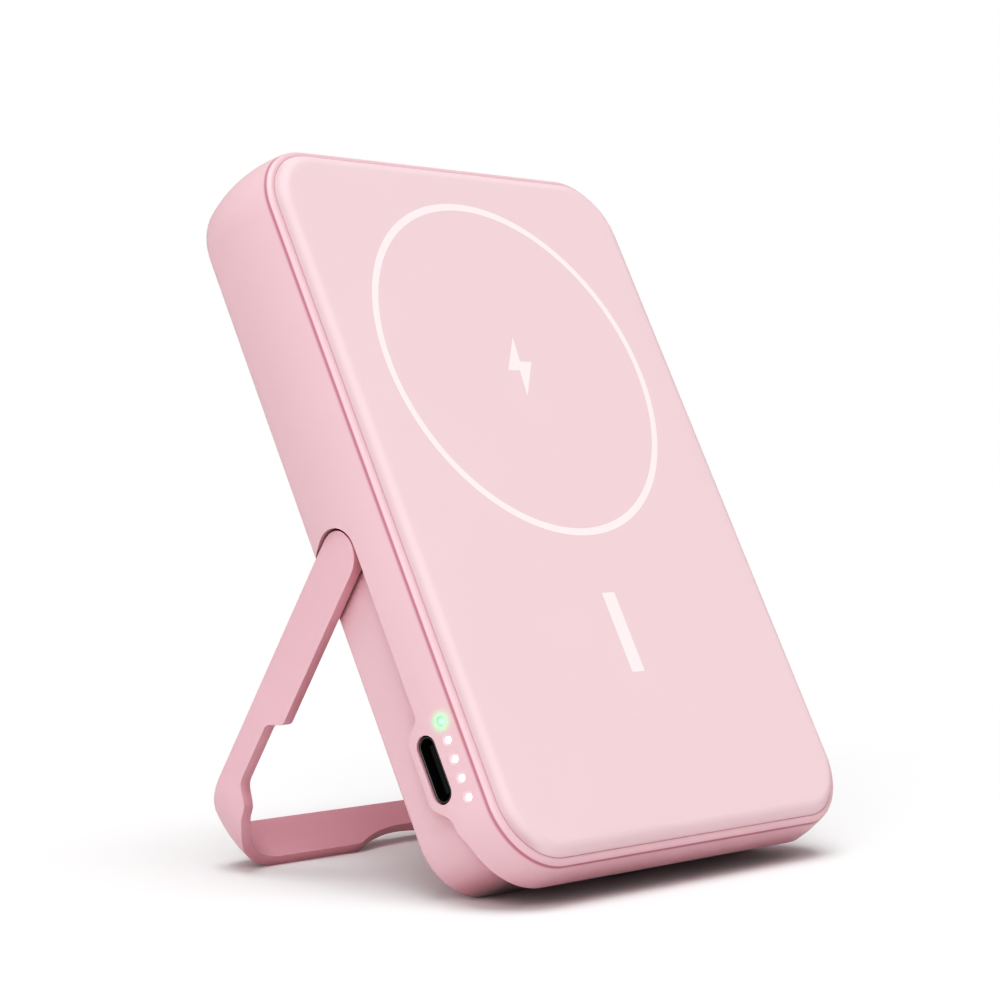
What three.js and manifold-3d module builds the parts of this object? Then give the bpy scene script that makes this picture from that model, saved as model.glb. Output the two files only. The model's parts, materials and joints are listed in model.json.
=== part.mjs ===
// Magnetic wireless power bank that stands on a fold-out ribbon stand.
// Everything is modelled in the body's own frame, in millimetres: X across the body, Y up along it and Z out
// of its charging face, with Z = 0 on that face. The last lines lean the body back until it and the opened
// stand both touch the ground.
import * as THREE from "three";
import { mergeVertices } from "three/addons/utils/BufferGeometryUtils.js";
import Module from "manifold-3d";

const wasm = await Module();
wasm.setup();

// ---- Driving dimensions ----
const rimWidth = 71.3; // the body across its front rim
const rimHeight = 105.1;
const bodyDepth = 16.9; // charging face to back
const rimRadius = 9.5; // plan corners
const rimFillet = 0.8;
const backFillet = 2.0;
const wallCrown = 1.0; // how far the side walls swell between rim and back
const crownDepth = 8.75; // where the swell is largest, below the charging face
const backWall = 1.5;
const frontWall = 2.1; // side wall in front of the stand's recess
const innerWall = 3.3; // side wall from the rim's line to the room behind the recess

const padRise = 1.18; // the soft face stands this far above the rim
const padSkin = 0.6; // pad below the rim's level
const padEdgeRadius = 2.3;
const rimLip = 0.96; // rim's width round the pad
const panelThickness = 1.0;
const inlayDepth = 0.35;

const fitGap = 0.15; // between pieces bonded or pushed together
const restGap = 0.3; // between pieces that rest on each other

const coilCentreY = 18.8; // centre of the charging zone
const ringRadius = 26.5; // outside of the printed ring
const ringLine = 1.1;
const markHeight = 9.5;
const barWidth = 2.6;
const barLength = 11.8;
const barCentreY = -22.3;

const magnetCount = 8;
const magnetOuter = 26.9;
const magnetInner = 22.6;
const magnetThickness = 1.5;
const magnetLeadGap = 26; // degrees left open where the coil's leads come out
const magnetSpacing = 2.5; // degrees between neighbours
const shuntThickness = 0.4;
const coilOuter = 20.6;
const coilInner = 9.5;
const coilThickness = 1.0;
const ferriteThickness = 0.8;
const trayThickness = 0.8;
const trayLip = 1.1;

const cellWidth = 56;
const cellLength = 66.5;
const cellTopY = 42.5;
const cellCornerRadius = 2.6;
const cellPadThickness = 0.6;

const boardGap = 0.35; // main board to the side walls
const boardTopY = -28.4;
const boardBottomY = -48.8;
const boardThickness = 0.8;

const socketY = -36;
const socketDepth = 7.45; // its centre below the charging face
const slotLength = 9.2;
const slotWidth = 3.2;
const shellWall = 0.25;
const shellReach = 7;

const lightCount = 5; // one status light, then four level lights
const lightPitch = 2.57;
const lightDepth = 3.95;
const lightRadius = 0.5;
const lightHole = 0.65;

const buttonLength = 9;
const buttonWidth = 1.8;
const buttonDepth = 4.85;
const buttonProud = 0.3;
const buttonTravel = 0.6;
const buttonGap = 0.2;

const screwInset = 7.05; // panel screws in from the rim's outline
const bossRadius = 2.5;
const screwRadius = 0.8;
const screwBore = 1.1;

const openAngle = 60; // degrees from folded away to standing
const pivotY = -4.5;
const pivotDepth = 11.3;
const armWidth = 7.2;
const barFront = 7.0; // the stand's cross bar starts this far below the charging face when folded
const armThickness = 1.7;
const crossThickness = 1.5;
const ribbonInnerCrown = 0.3;
const recessSide = 1.4; // recess wall inside the rim's line, at the sides
const recessBottom = 1.55; // and along the bottom edge
const recessFillet = 0.8;
const standGap = 0.3;
const notchEdge = 10.15; // recess edge beside the socket, below the charging face
const notchTopY = -30.2;
const notchBottomY = -41.5;
const notchRound = 1.6;
const cornerStepY = -45.5; // where the recess widens to the cross bar
const archHalf = 10.2;
const archRise = 2.9;
const nubWidth = 6.8;
const nubHeight = 0.65;

const pinRadius = 1.5;
const pinClearance = 0.08;
const pinHeadRadius = 2.2;
const pinHead = 0.65;
const washerThickness = 0.6;
const washerRadius = 3;
const clipThickness = 0.4;
const clipRadius = 2.6;
const grooveRadius = 1.15;

// ---- Values worked out from them ----
const degrees = Math.PI / 180;
const halfWidth = rimWidth / 2;
const halfHeight = rimHeight / 2;
const boardWidth = 2 * (halfWidth - innerWall - boardGap);
const screwPlaceX = halfWidth - screwInset;
const screwPlaceY = halfHeight - screwInset;
const far = 200;
const padHalfWidth = halfWidth - rimLip - fitGap;
const padHalfHeight = halfHeight - rimLip - fitGap - 0.13;
const padRadius = rimRadius - rimLip + 0.5;
const padUnder = -padRise - padSkin;
const panelTop = padUnder - restGap;
const panelUnder = panelTop - panelThickness;
const ledge = panelUnder - fitGap;
const stackTop = panelUnder - restGap;
const shoulder = -(pivotDepth - armWidth / 2 - standGap) + 1.3;
const cavityFloor = -bodyDepth + backWall;
const slideX = halfWidth - innerWall; // inside of the side walls behind the recess
const recessX = halfWidth - recessSide;
const recessY = halfHeight - recessBottom;
const pivotZ = -pivotDepth;
const armFront = pivotZ + armWidth / 2;
const armRear = pivotZ - armWidth / 2;
const boardTop = -socketDepth - slotWidth / 2 - restGap;
const socketX = -(halfWidth + crownAt(-socketDepth));

// Swell of the side walls at height z.
function crownAt(z, crown = wallCrown) {
  const share = (z + crownDepth) / (crownDepth - padRise - rimFillet);
  return crown * (1 - share * share);
}

// ---- Geometry helpers ----
const toSolid = (geometry) => {
  const bare = geometry.clone();
  bare.deleteAttribute("normal");
  bare.deleteAttribute("uv");
  const merged = mergeVertices(bare, 1e-4);
  return new wasm.Manifold(
    new wasm.Mesh({
      numProp: 3,
      vertProperties: new Float32Array(merged.attributes.position.array),
      triVerts: new Uint32Array(merged.index.array),
    }),
  );
};

const toGeometry = (solid) => {
  const mesh = solid.getMesh();
  return new THREE.BufferGeometry()
    .setAttribute("position", new THREE.BufferAttribute(mesh.vertProperties, 3))
    .setIndex(new THREE.BufferAttribute(mesh.triVerts, 1));
};

// Points of a rectangle with round corners, anticlockwise, at height z.
function roundLoop(halfX, halfY, radius, z, steps = 8) {
  const points = [];
  const corners = [[1, 1], [-1, 1], [-1, -1], [1, -1]];
  corners.forEach(([sx, sy], corner) => {
    for (let i = 0; i <= steps; i++) {
      const angle = ((corner + i / steps) * Math.PI) / 2;
      const x = sx * (halfX - radius) + radius * Math.cos(angle);
      const y = sy * (halfY - radius) + radius * Math.sin(angle);
      points.push([x, y, z]);
    }
  });
  return points;
}

// Closed solid through loops of equal length, from the lowest to the highest.
function loft(loops) {
  const count = loops[0].length;
  const index = [];
  for (let row = 0; row < loops.length - 1; row++) {
    for (let i = 0; i < count; i++) {
      const a = row * count + i;
      const b = row * count + ((i + 1) % count);
      index.push(a, b, b + count, a, b + count, a + count);
    }
  }
  const top = (loops.length - 1) * count;
  for (let i = 1; i < count - 1; i++) {
    index.push(0, i + 1, i);
    index.push(top, top + i, top + i + 1);
  }
  const geometry = new THREE.BufferGeometry()
    .setAttribute("position", new THREE.Float32BufferAttribute(loops.flat(2), 3))
    .setIndex(index);
  return toSolid(geometry);
}

const prism = (halfX, halfY, radius, low, high, steps) =>
  loft([roundLoop(halfX, halfY, radius, low, steps), roundLoop(halfX, halfY, radius, high, steps)]);

const box = (x0, x1, y0, y1, z0, z1) =>
  toSolid(
    new THREE.BoxGeometry(x1 - x0, y1 - y0, z1 - z0).translate((x0 + x1) / 2, (y0 + y1) / 2, (z0 + z1) / 2),
  );

// Cylinder along "x" or "z", from one end to the other.
function rod(radius, axis, from, to, u, v, sides = 24) {
  const geometry = new THREE.CylinderGeometry(radius, radius, to - from, sides);
  if (axis === "x") geometry.rotateZ(-Math.PI / 2).translate((from + to) / 2, u, v);
  else geometry.rotateX(Math.PI / 2).translate(u, v, (from + to) / 2);
  return toSolid(geometry);
}

// Solid turned about the Z axis from [radius, z] points.
const turned = (points, sides = 32) =>
  toSolid(new THREE.LatheGeometry(points.map((p) => new THREE.Vector2(...p)), sides).rotateX(Math.PI / 2));

const ringSolid = (inner, outer, low, high, sides = 48) =>
  rod(outer, "z", low, high, 0, 0, sides).subtract(rod(inner, "z", low - 1, high + 1, 0, 0, sides));

// Outline extruded along Z.
const extruded = (shape, low, high, curveSegments = 8) =>
  toSolid(
    new THREE.ExtrudeGeometry(shape, { depth: high - low, bevelEnabled: false, curveSegments }).translate(0, 0, low),
  );

// Outline drawn in the body's Y and Z and extruded along X.
function sideways(shape, low, high) {
  const geometry = new THREE.ExtrudeGeometry(shape, { depth: high - low, bevelEnabled: false, curveSegments: 12 });
  const turn = new THREE.Matrix4().makeBasis(
    new THREE.Vector3(0, 1, 0),
    new THREE.Vector3(0, 0, 1),
    new THREE.Vector3(1, 0, 0),
  );
  return toSolid(geometry.translate(0, 0, low).applyMatrix4(turn));
}

// Bar with half-round ends lying along Y, extruded along X.
function slotSolid(length, width, from, to, y, z) {
  const straight = (length - width) / 2;
  const shape = new THREE.Shape();
  shape.absarc(y + straight, z, width / 2, -Math.PI / 2, Math.PI / 2);
  shape.absarc(y - straight, z, width / 2, Math.PI / 2, (3 * Math.PI) / 2);
  return sideways(shape, from, to);
}

// Round wire through points.
function wire(points, radius) {
  const circle = new THREE.Shape().absarc(0, 0, radius, 0, 2 * Math.PI);
  const path = new THREE.CatmullRomCurve3(points.map((p) => new THREE.Vector3(...p)));
  const geometry = new THREE.ExtrudeGeometry(circle, { steps: 14, extrudePath: path, curveSegments: 4 });
  return toSolid(geometry);
}

const cut = (solid, ...tools) => tools.reduce((left, tool) => left.subtract(tool), solid);
const join = (...solids) => solids.reduce((a, b) => a.add(b));

// ---- Materials ----
const material = (color, roughness, metalness = 0) => new THREE.MeshStandardMaterial({ color, roughness, metalness });
const shellPink = material(0xe9bcc4, 0.5);
const padPink = material(0xf0d0d5, 0.65);
const printWhite = material(0xfdf2f3, 0.6);
const standPink = material(0xe6b8c0, 0.42, 0.2);
const panelGrey = material(0x9a9c9f, 0.6);
const trayBlack = material(0x2a2b2e, 0.6);
const magnetNickel = material(0xb9bcc0, 0.3, 1);
const steel = material(0xa9acb0, 0.35, 1);
const copper = material(0xb4683a, 0.35, 1);
const ferriteGrey = material(0x3b3c40, 0.7);
const cellSilver = material(0xbfc2c4, 0.4, 0.6);
const foamGrey = material(0x55575a, 0.95);
const boardGreen = material(0x1d5a3a, 0.5);
const chipBlack = material(0x18191b, 0.45);
const lensClear = material(0xf6f8f8, 0.2);
const lensGreen = material(0xbfffcc, 0.2);
const socketSteel = material(0xc4c6c8, 0.25, 1);
const wireRed = material(0xa8281f, 0.5);
const wireBlack = material(0x1d1d1f, 0.5);

const body = new THREE.Group(); // leans back as a whole
const stand = new THREE.Group(); // turns on the hinge pins

function place(parent, name, solid, finish, position = [0, 0, 0]) {
  const mesh = new THREE.Mesh(toGeometry(solid), finish);
  mesh.name = name;
  mesh.position.set(...position);
  parent.add(mesh);
  return mesh;
}

// ---- Outer form ----
// The swollen block of the body, drawn in by an inset at the sides and at the ends.
function bodyBlock(insetX, insetY, crown, fillet, low, high) {
  const loops = [];
  const ring = (z, shrink) => {
    const grow = crownAt(z, crown) - shrink;
    const radius = Math.max(rimRadius + grow - Math.max(insetX, insetY), 1);
    loops.push(roundLoop(halfWidth - insetX + grow, halfHeight - insetY + grow, radius, z));
  };
  for (let i = 0; i <= 3 && fillet > 0; i++) {
    const angle = (i * Math.PI) / 8;
    ring(low + fillet * (1 - Math.cos(angle)), fillet * (1 - Math.sin(angle)));
  }
  const wallLow = low + fillet;
  const wallHigh = Math.min(high, -padRise - rimFillet);
  for (let i = 0; i <= 6; i++) ring(wallLow + ((wallHigh - wallLow) * i) / 6, 0);
  if (high > wallHigh) {
    for (let i = 1; i <= 3; i++) {
      const angle = (i * Math.PI) / 6;
      const z = wallHigh + rimFillet * Math.sin(angle);
      const shrink = rimFillet * (1 - Math.cos(angle)) + crownAt(z, crown);
      ring(z, shrink);
    }
  }
  return loft(loops);
}

// Outline of the folded stand seen from the side, grown by a gap. The notch clears a plug in the socket. Given a
// back, the outline runs on to it and leaves room for the stand to swing open.
function standOutline(gap, notched, back) {
  const round = armWidth / 2 + gap;
  const front = armFront + gap;
  const crossFront = -barFront + gap;
  const bottom = -halfHeight - 4;
  const shape = new THREE.Shape();
  const step = (y, from, to, half) => {
    shape.lineTo(y - half, from);
    shape.bezierCurveTo(y - 0.1 * half, from, y + 0.1 * half, to, y + half, to);
  };
  shape.moveTo(bottom, crossFront);
  step(cornerStepY, crossFront, front, 2);
  if (notched) {
    const edge = -notchEdge - standGap + gap;
    step(notchBottomY - standGap + gap, front, edge, notchRound);
    step(notchTopY + standGap - gap, edge, front, notchRound);
  }
  shape.lineTo(pivotY, front);
  const end = back === undefined ? -Math.PI / 2 : (openAngle - 90) * degrees;
  shape.absarc(pivotY, pivotZ, round, Math.PI / 2, end, true);
  if (back !== undefined) {
    const run = (pivotZ + round * Math.sin(end) - back) / Math.cos(end);
    shape.lineTo(pivotY + round * Math.cos(end) + run * Math.sin(end), back);
  }
  shape.lineTo(bottom, back ?? armRear - gap);
  shape.closePath();
  return shape;
}
const standSides = (gap, back) =>
  join(
    sideways(standOutline(gap, true, back), -halfWidth - 5, 0.01),
    sideways(standOutline(gap, false, back), 0, halfWidth + 5),
  );

// ---- Rear housing ----
const lightYs = Array.from({ length: lightCount }, (_, i) => socketY + (2 - i) * lightPitch);
const screwPlaces = [[1, 1], [-1, 1], [-1, -1], [1, -1]].map(([sx, sy]) => [sx * screwPlaceX, sy * screwPlaceY]);
const buttonX = halfWidth + crownAt(-buttonDepth);

function rearHousing() {
  const outer = bodyBlock(0, 0, wallCrown, backFillet, -bodyDepth, -padRise);
  const pocket = prism(
    padHalfWidth + fitGap, padHalfHeight + fitGap, padRadius + fitGap, ledge, 1);
  const frontRoom = prism(halfWidth - frontWall, halfHeight - frontWall, rimRadius - frontWall, shoulder, ledge + 1);
  const backRoom = prism(slideX, halfHeight - innerWall, rimRadius - innerWall, cavityFloor, shoulder + 1);
  const core = loft([
    roundLoop(recessX - recessFillet, recessY - recessFillet, rimRadius - 1.4 - recessFillet, -bodyDepth),
    roundLoop(recessX - recessFillet * 0.29, recessY - recessFillet * 0.29, rimRadius - 1.4 - recessFillet * 0.29,
      -bodyDepth + recessFillet * 0.29),
    roundLoop(recessX, recessY, rimRadius - 1.4, -bodyDepth + recessFillet),
    roundLoop(recessX, recessY, rimRadius - 1.4, 1),
  ]);
  const recess = standSides(standGap, -bodyDepth - 3).subtract(core);
  const bosses = screwPlaces.map(([x, y]) => rod(bossRadius, "z", cavityFloor - 0.5, stackTop, x, y));
  const bores = screwPlaces.map(([x, y]) => rod(screwBore, "z", stackTop - 6, stackTop + 1, x, y, 16));
  const slot = slotSolid(slotLength, slotWidth, -far, -slideX + 1, socketY, -socketDepth);
  const lights = lightYs.map((y) => rod(lightHole, "x", -far, -slideX + 1, y, -lightDepth, 16));
  const button = slotSolid(
    buttonLength + 2 * buttonGap, buttonWidth + 2 * buttonGap, slideX - 1, far, socketY, -buttonDepth);
  const pins = rod(pinRadius + pinClearance, "x", -far, far, pivotY, pivotZ, 32);
  const nub = box(-nubWidth / 2, nubWidth / 2, -recessY - nubHeight, -recessY + 0.5, -14.6, -12.6);
  return cut(outer, pocket, frontRoom, recess)
    .subtract(backRoom)
    .add(join(...bosses, nub))
    .subtract(join(...bores, slot, ...lights, button, pins));
}
place(body, "rear_housing", rearHousing(), shellPink);

// ---- Front panel, soft face and its printed marks ----
const ringCut = (low) =>
  ringSolid(ringRadius - ringLine - fitGap, ringRadius + fitGap, low, 1).translate([0, coilCentreY, 0]);

// Generic charging bolt, standing on its centre.
function boltShape(height, grow) {
  const k = height / 10;
  const outline = [[0.9, 5], [-2.9, -0.7], [-0.4, -0.7], [-0.9, -5], [2.9, 0.8], [0.4, 0.8]];
  const points = outline.map(([x, y]) => new THREE.Vector2(x * k * (1 + grow), y * k * (1 + grow)));
  return new THREE.Shape(points);
}

function facePad() {
  const endAngle = Math.acos(1 - padRise / padEdgeRadius);
  const loops = [roundLoop(padHalfWidth, padHalfHeight, padRadius, padUnder, 10)];
  for (let i = 0; i <= 5; i++) {
    const angle = endAngle * (1 - i / 5);
    const inset = padEdgeRadius * (Math.sin(endAngle) - Math.sin(angle));
    const z = -padEdgeRadius * (1 - Math.cos(angle));
    loops.push(roundLoop(padHalfWidth - inset, padHalfHeight - inset, padRadius - inset, z, 10));
  }
  const grooveFloor = -inlayDepth - 0.2;
  const barPocket = box(
    -barWidth / 2 - fitGap, barWidth / 2 + fitGap,
    barCentreY - barLength / 2 - fitGap, barCentreY + barLength / 2 + fitGap, grooveFloor, 1);
  const bolt = extruded(boltShape(markHeight, 0.12), grooveFloor, 1).translate([0, coilCentreY, 0]);
  const headRooms = screwPlaces.map(([x, y]) => rod(2.3, "z", padUnder - 1, padUnder + 0.75, x, y, 16));
  return cut(loft(loops), ringCut(grooveFloor), barPocket, bolt, ...headRooms);
}
place(body, "face_pad", facePad(), padPink);
place(body, "ring_inlay", ringSolid(ringRadius - ringLine, ringRadius, -inlayDepth, 0), printWhite, [0, coilCentreY, 0]);
const barInlay = box(-barWidth / 2, barWidth / 2, -barLength / 2, barLength / 2, -inlayDepth, 0);
place(body, "bar_inlay", barInlay, printWhite, [0, barCentreY, 0]);
place(body, "bolt_inlay", extruded(boltShape(markHeight, 0), -inlayDepth, 0), printWhite, [0, coilCentreY, 0]);

function frontPanel() {
  const plate = prism(padHalfWidth, padHalfHeight, padRadius, panelUnder, panelTop);
  const holes = screwPlaces.map(([x, y]) => rod(screwBore, "z", panelUnder - 1, panelTop + 1, x, y, 16));
  return cut(plate, ...holes);
}
place(body, "front_panel", frontPanel(), panelGrey);

const screwSolid = turned([
  [0, -6.2], [screwRadius, -6.2], [screwRadius, fitGap], [1.9, fitGap], [1.9, 0.6], [1.5, 0.8], [0, 0.8],
], 16);
screwPlaces.forEach(([x, y], i) => place(body, `panel_screw_${i + 1}`, screwSolid, steel, [x, y, panelTop]));

// ---- Charging stack, centred on the ring ----
function magnetSector(sweep) {
  const shape = new THREE.Shape();
  shape.absarc(0, 0, magnetOuter, -sweep / 2, sweep / 2);
  shape.absarc(0, 0, magnetInner, sweep / 2, -sweep / 2, true);
  shape.closePath();
  return extruded(shape, -magnetThickness, 0, 6);
}
const magnetStep = (360 - magnetLeadGap + magnetSpacing) / magnetCount;
for (let i = 0; i < magnetCount; i++) {
  const magnet = place(
    body, `ring_magnet_${i + 1}`, magnetSector((magnetStep - magnetSpacing) * degrees), magnetNickel,
    [0, coilCentreY, stackTop]);
  magnet.rotation.z = (-90 + magnetLeadGap / 2 + (magnetStep - magnetSpacing) / 2 + i * magnetStep) * degrees;
}
const shuntTop = -magnetThickness - restGap;
const shunt = ringSolid(magnetInner, magnetOuter, shuntTop - shuntThickness, shuntTop);
place(body, "magnet_shunt", shunt, steel, [0, coilCentreY, stackTop]);
place(body, "charging_coil", ringSolid(coilInner, coilOuter, -coilThickness, 0), copper, [0, coilCentreY, stackTop]);
const ferriteTop = -coilThickness - restGap;
place(body, "ferrite_sheet", rod(coilOuter + 0.6, "z", ferriteTop - ferriteThickness, ferriteTop, 0, 0, 48),
  ferriteGrey, [0, coilCentreY, stackTop]);

const trayFloor = Math.min(shuntTop - shuntThickness, ferriteTop - ferriteThickness) - restGap;
function coilTray() {
  const outer = magnetOuter + restGap + trayLip;
  const tray = turned([
    [0, trayFloor - trayThickness], [outer, trayFloor - trayThickness], [outer, 0],
    [outer - trayLip, 0], [outer - trayLip, trayFloor], [0, trayFloor],
  ], 48);
  return tray.subtract(box(-5.5, 5.5, -far, -coilOuter - 4, trayFloor, 1));
}
place(body, "coil_tray", coilTray(), trayBlack, [0, coilCentreY, stackTop]);
const barMagnet = box(-2, 2, -barLength / 2, barLength / 2, -magnetThickness, 0);
place(body, "bar_magnet", barMagnet, magnetNickel, [0, barCentreY, stackTop]);

// ---- Battery ----
const cellTop = stackTop + trayFloor - trayThickness - restGap;
const cellPadLow = cavityFloor + restGap;
const cellLow = cellPadLow + cellPadThickness + restGap;
function pouchCell() {
  const round = Math.min(cellCornerRadius, (cellTop - cellLow) / 2 - 0.2);
  const loops = [];
  for (let i = 0; i <= 8; i++) {
    const angle = -Math.PI / 2 + ((i > 4 ? i - 1 : i) * Math.PI) / 7;
    const inset = round * (1 - Math.cos(angle));
    const base = i > 4 ? cellTop - round : cellLow + round;
    loops.push(roundLoop(cellWidth / 2 - inset, cellLength / 2 - inset, 4 + round - inset,
      base + round * Math.sin(angle), 4));
  }
  return loft(loops);
}
const cellCentreY = cellTopY - cellLength / 2;
place(body, "battery_cell", pouchCell(), cellSilver, [0, cellCentreY, 0]);
const cellPad = prism(cellWidth / 2 - 4, cellLength / 2 - 4, 3, cellPadLow, cellPadLow + cellPadThickness, 3);
place(body, "cell_pad", cellPad, foamGrey, [0, cellCentreY, 0]);
const cellEndY = cellTopY - cellLength;
const cellBoardZ = (cellTop + cellLow) / 2;
place(body, "cell_board", box(-12, 12, -3.3, 0, -0.5, 0.5), boardGreen, [0, cellEndY - restGap, cellBoardZ]);

// ---- Main board and what is on it ----
function mainBoard() {
  const centre = (boardTopY + boardBottomY) / 2;
  const half = (boardTopY - boardBottomY) / 2;
  const plate = prism(boardWidth / 2, half, 5.5, boardTop - boardThickness, boardTop, 5).translate([0, centre, 0]);
  const rooms = screwPlaces.map(([x, y]) => rod(bossRadius + 0.3, "z", -bodyDepth, 0, x, y));
  return cut(plate, ...rooms);
}
place(body, "main_board", mainBoard(), boardGreen);

const partLow = boardTop + restGap;
const chip = (width, height, thickness) => box(-width / 2, width / 2, -height / 2, height / 2, 0, thickness);
place(body, "control_chip", chip(5, 5, 0.9), chipBlack, [-16, socketY, partLow]);
place(body, "charge_chip", chip(4, 4, 0.9), chipBlack, [16, socketY - 4, partLow]);
const inductor = prism(3.5, 3.5, 1, 0, 2.8, 3).subtract(rod(1.6, "z", 2.3, 4, 0, 0, 16));
place(body, "power_inductor", inductor, chipBlack, [0, socketY, partLow]);
place(body, "output_capacitor", chip(3.5, 2.8, 1.9), ferriteGrey, [8.5, socketY, partLow]);

// ---- Socket in the left wall ----
const shellLength = slotLength - 2 * fitGap;
const shellWidth = slotWidth - 2 * fitGap;
const shellFront = socketX + 0.3;
const shellBack = shellFront + shellReach;
function socketShell() {
  const outside = slotSolid(shellLength, shellWidth, shellFront, shellBack, socketY, -socketDepth);
  const inside = slotSolid(
    shellLength - 2 * shellWall, shellWidth - 2 * shellWall, shellFront - 1, shellBack - 0.8, socketY, -socketDepth);
  return outside.subtract(inside);
}
place(body, "socket_shell", socketShell(), socketSteel);
const tongue = box(shellFront + 0.7, shellBack - 0.8 - restGap, -3.35, 3.35, -0.35, 0.35);
place(body, "socket_tongue", tongue, chipBlack, [0, socketY, -socketDepth]);

// ---- Lights ----
const lensOuter = -(halfWidth + crownAt(-lightDepth));
const lensInner = -(halfWidth - frontWall) + 0.7;
lightYs.forEach((y, i) => {
  const lens = rod(lightRadius, "x", lensOuter, lensInner, y, -lightDepth, 16);
  place(body, i === 0 ? "status_lens" : `level_lens_${i}`, lens, i === 0 ? lensGreen : lensClear);
  const led = box(lensInner + restGap, lensInner + restGap + 1.1, -0.8, 0.8, -0.45, 0.45);
  place(body, i === 0 ? "status_led" : `level_led_${i}`, led, printWhite, [0, y, -lightDepth]);
});
const lightBoard = box(
  lensInner + 0.2, lensInner + 4.6, lightYs[lightCount - 1] - 1.6, lightYs[0] + 1.6,
  -lightDepth - 0.45 - restGap - 0.6, -lightDepth - 0.45 - restGap);
place(body, "light_board", lightBoard, boardGreen);

// ---- Check button in the right wall, with its switch ----
function checkButton() {
  const flangeX = halfWidth - frontWall - restGap;
  const flange = slotSolid(buttonLength + 3, buttonWidth, flangeX - 0.6, flangeX, socketY, -buttonDepth);
  const cap = slotSolid(buttonLength, buttonWidth, flangeX - 0.3, buttonX + buttonProud, socketY, -buttonDepth);
  return join(flange, cap);
}
place(body, "check_button", checkButton(), shellPink);
const stemFront = halfWidth - frontWall - 2 * restGap - 0.6;
const switchX = slideX - 1.5;
const plunger = rod(0.8, "x", switchX - buttonTravel - restGap, stemFront, socketY, -buttonDepth, 16);
place(body, "switch_plunger", plunger, chipBlack);
const switchBody = box(switchX - 2.4, switchX, -3, 3, partLow, -buttonDepth + 1.3)
  .subtract(rod(1.1, "x", switchX - 2 * buttonTravel - 2 * restGap, switchX + 1, 0, -buttonDepth, 16));
place(body, "button_switch", switchBody, steel, [0, socketY, 0]);

// ---- Wires ----
const wireRadius = 0.55;
[["cell_wire_plus", -3, wireRed], ["cell_wire_minus", 3, wireBlack]].forEach(([name, x, finish]) => {
  const start = [x, cellEndY - 2, cellBoardZ + 0.5 + wireRadius + restGap];
  const middle = [x, boardTopY + 1.6, boardTop + 1.7];
  const end = [x, boardTopY - 2.5, boardTop + wireRadius + restGap];
  place(body, name, wire([start, middle, end], wireRadius), finish);
});
[["coil_lead_1", -3.6], ["coil_lead_2", 3.6]].forEach(([name, x]) => {
  const leadZ = stackTop - 0.6;
  const points = [
    [x, coilCentreY - coilOuter - restGap, leadZ],
    [x, coilCentreY - magnetOuter - 3, leadZ - 0.1],
    [x, (cellEndY + coilCentreY - magnetOuter) / 2, leadZ - 1],
    [x, cellEndY - 2.2, leadZ - 1.8],
    [x + Math.sign(x), boardTopY - 1.5, boardTop + 1.4],
  ];
  place(body, name, wire(points, 0.45), copper);
});

// ---- Stand: one U of flat ribbon, its hinge pins, washers and clips ----
function standRibbon() {
  const outer = bodyBlock(0, 0, wallCrown, 0, armRear - 1, -3);
  const loops = [armRear - 2, armRear, pivotZ, -crownDepth, -2].map((z) => {
    const grow = crownAt(Math.max(z, -15), ribbonInnerCrown);
    const innerX = halfWidth + wallCrown - ribbonInnerCrown - armThickness + grow;
    const innerY = halfHeight + wallCrown - ribbonInnerCrown - crossThickness + grow;
    return roundLoop(innerX, innerY, rimRadius - armThickness + 1, z);
  });
  const archRadius = (archHalf * archHalf + archRise * archRise) / (2 * archRise);
  const archDisc = new THREE.CylinderGeometry(archRadius, archRadius, 20, 96)
    .translate(0, -halfHeight, -barFront - archRise + archRadius);
  const arch = toSolid(archDisc).intersect(box(-far, far, -halfHeight - 9, -halfHeight + 9, -far, 0));
  const ribbon = cut(outer, loft(loops)).intersect(standSides(0));
  const pockets = [-1, 1].map((side) => {
    const inner = side * (halfWidth - 3);
    const end = side * (halfWidth + crownAt(pivotZ) - 0.75);
    return rod(pinHeadRadius + 0.2, "x", Math.min(inner, end), Math.max(inner, end), pivotY, pivotZ);
  });
  return cut(ribbon, arch, ...pockets).translate([0, -pivotY, -pivotZ]);
}
place(stand, "stand_frame", standRibbon(), standPink);

[["left", -1], ["right", 1]].forEach(([label, side]) => {
  const headOuter = halfWidth + crownAt(pivotZ) - 0.75 - fitGap;
  const washerOuter = slideX - restGap;
  const clipOuter = washerOuter - washerThickness - restGap;
  const pinEnd = clipOuter - clipThickness - 1;
  const pin = turned([
    [0, pinEnd], [pinRadius - 0.3, pinEnd], [pinRadius, pinEnd + 0.3],
    [pinRadius, clipOuter - clipThickness - 0.1], [grooveRadius, clipOuter - clipThickness - 0.1],
    [grooveRadius, clipOuter + 0.1], [pinRadius, clipOuter + 0.1],
    [pinRadius, headOuter - pinHead], [pinHeadRadius, headOuter - pinHead],
    [pinHeadRadius, headOuter], [0, headOuter],
  ]);
  const clip = ringSolid(grooveRadius + 0.1, clipRadius, clipOuter - clipThickness, clipOuter, 24)
    .subtract(box(-0.9, 0.9, 0, 5, 0, far));
  const washer = ringSolid(pinRadius + 0.2, washerRadius, washerOuter - washerThickness, washerOuter, 24);
  const turnAside = (mesh) => {
    mesh.rotation.y = (side * Math.PI) / 2;
    return mesh;
  };
  turnAside(place(stand, `hinge_pin_${label}`, pin, steel));
  turnAside(place(stand, `pin_clip_${label}`, clip, steel));
  turnAside(place(body, `hinge_washer_${label}`, washer, steel, [0, pivotY, pivotZ]));
});

stand.position.set(0, pivotY, pivotZ);
stand.rotation.x = openAngle * degrees;
body.add(stand);

// ---- Lean back until the body's bottom edge and the cross bar are level, and set that down at z = 0 ----
const powerBank = new THREE.Group();
powerBank.name = "power_bank";
powerBank.add(body);

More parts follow.
